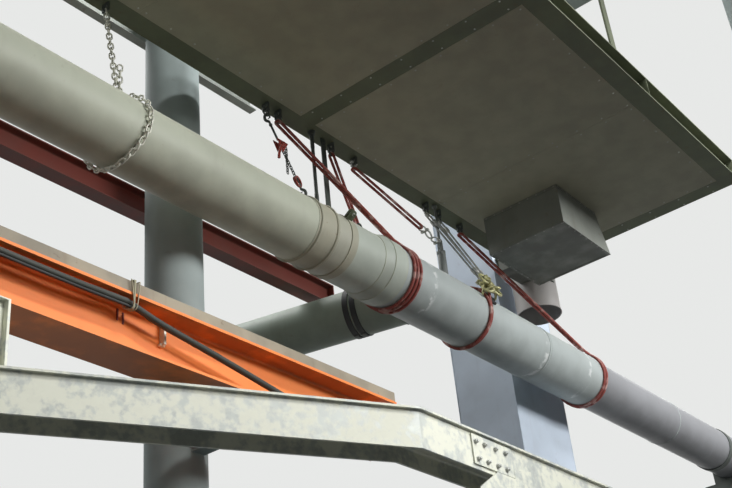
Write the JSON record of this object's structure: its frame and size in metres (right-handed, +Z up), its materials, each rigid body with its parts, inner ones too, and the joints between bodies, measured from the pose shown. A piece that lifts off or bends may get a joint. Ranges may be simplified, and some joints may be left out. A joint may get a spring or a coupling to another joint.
{
  "type": "industrial pipe bridge",
  "caption": "Large steel pipe run with a branch, hung on slings and clamps under the edge of a boarded steel deck that is carried by round columns, cross beams and a boxed pier.",
  "frame": {"origin": "on the floor, in the middle of the length and of the width", "axes": "+X along the pipe run towards the trestle end, +Y towards the branch, +Z up"},
  "size_m": [17, 6.88, 10.15],
  "materials": {
    "cream_pipe": "dusty satin paint",
    "grey_pipe": "satin paint",
    "branch_paint": "matt paint",
    "dark_steel": "dull dark paint",
    "black_rubber": "matt",
    "deck_steel": "dark olive paint",
    "board": "painted board",
    "floor_plate": "worn floor plate",
    "column_paint": "grey-green paint",
    "pier_paint": "grey-blue paint",
    "runway_paint": "dull paint",
    "red_paint": "dark red paint",
    "orange_paint": "bright orange paint",
    "rail_paint": "dusty grey-green paint",
    "zinc": "hot-dip galvanised",
    "vent_metal": "dusty sheet metal",
    "sling_web": "woven polyester",
    "rope_steel": "oily steel wire",
    "hoist_paint": "worn paint"
  },
  "bodies": {
    "root": {"pipe_near": "cream_pipe", "pipe_middle": "cream_pipe", "tee_ring": "cream_pipe", "pipe_coupling": "cream_pipe", "pipe_tee": "grey_pipe", "pipe_far": "grey_pipe", "pipe_end": "grey_pipe", "branch_pipe": "branch_paint", "near_hanger": "dark_steel", "middle_hanger": "dark_steel", "end_clamp": "dark_steel", "sling_lugs": "dark_steel", "trestle_head": "dark_steel", "branch_strap": "black_rubber", "girder_cable": "black_rubber", "deck_edge_left": "deck_steel", "deck_edge_right": "deck_steel", "deck_joists": "deck_steel", "deck_hangers": "deck_steel", "deck_bracket": "deck_steel", "deck_boards": "board", "deck_floor": "floor_plate", "column_left_near": "column_paint", "column_left_middle": "column_paint", "column_right_near": "column_paint", "column_right_far": "column_paint", "cross_beam_near": "column_paint", "cross_beam_middle": "column_paint", "cross_beam_far": "column_paint", "header_beam": "column_paint", "girder_brackets": "column_paint", "trestle_legs": "column_paint", "pier": "pier_paint", "runway_beam_left": "runway_paint", "runway_beam_right": "runway_paint", "red_beam": "red_paint", "orange_girder": "orange_paint", "girder_rail": "rail_paint", "galvanised_diagonal": "zinc", "galvanised_beam": "zinc", "galvanised_splice": "zinc", "galvanised_gusset": "zinc", "galvanised_post": "zinc", "galvanised_tie": "zinc", "galvanised_prop": "zinc", "vent_box": "vent_metal", "vent_spigot": "vent_metal", "collar_sling": "sling_web", "upper_sling": "sling_web", "middle_sling": "sling_web", "far_sling": "sling_web", "wire_ropes": "rope_steel", "turnbuckle": "rope_steel", "near_chain": "rope_steel", "lever_hoist": "hoist_paint"}
  },
  "joints": []
}
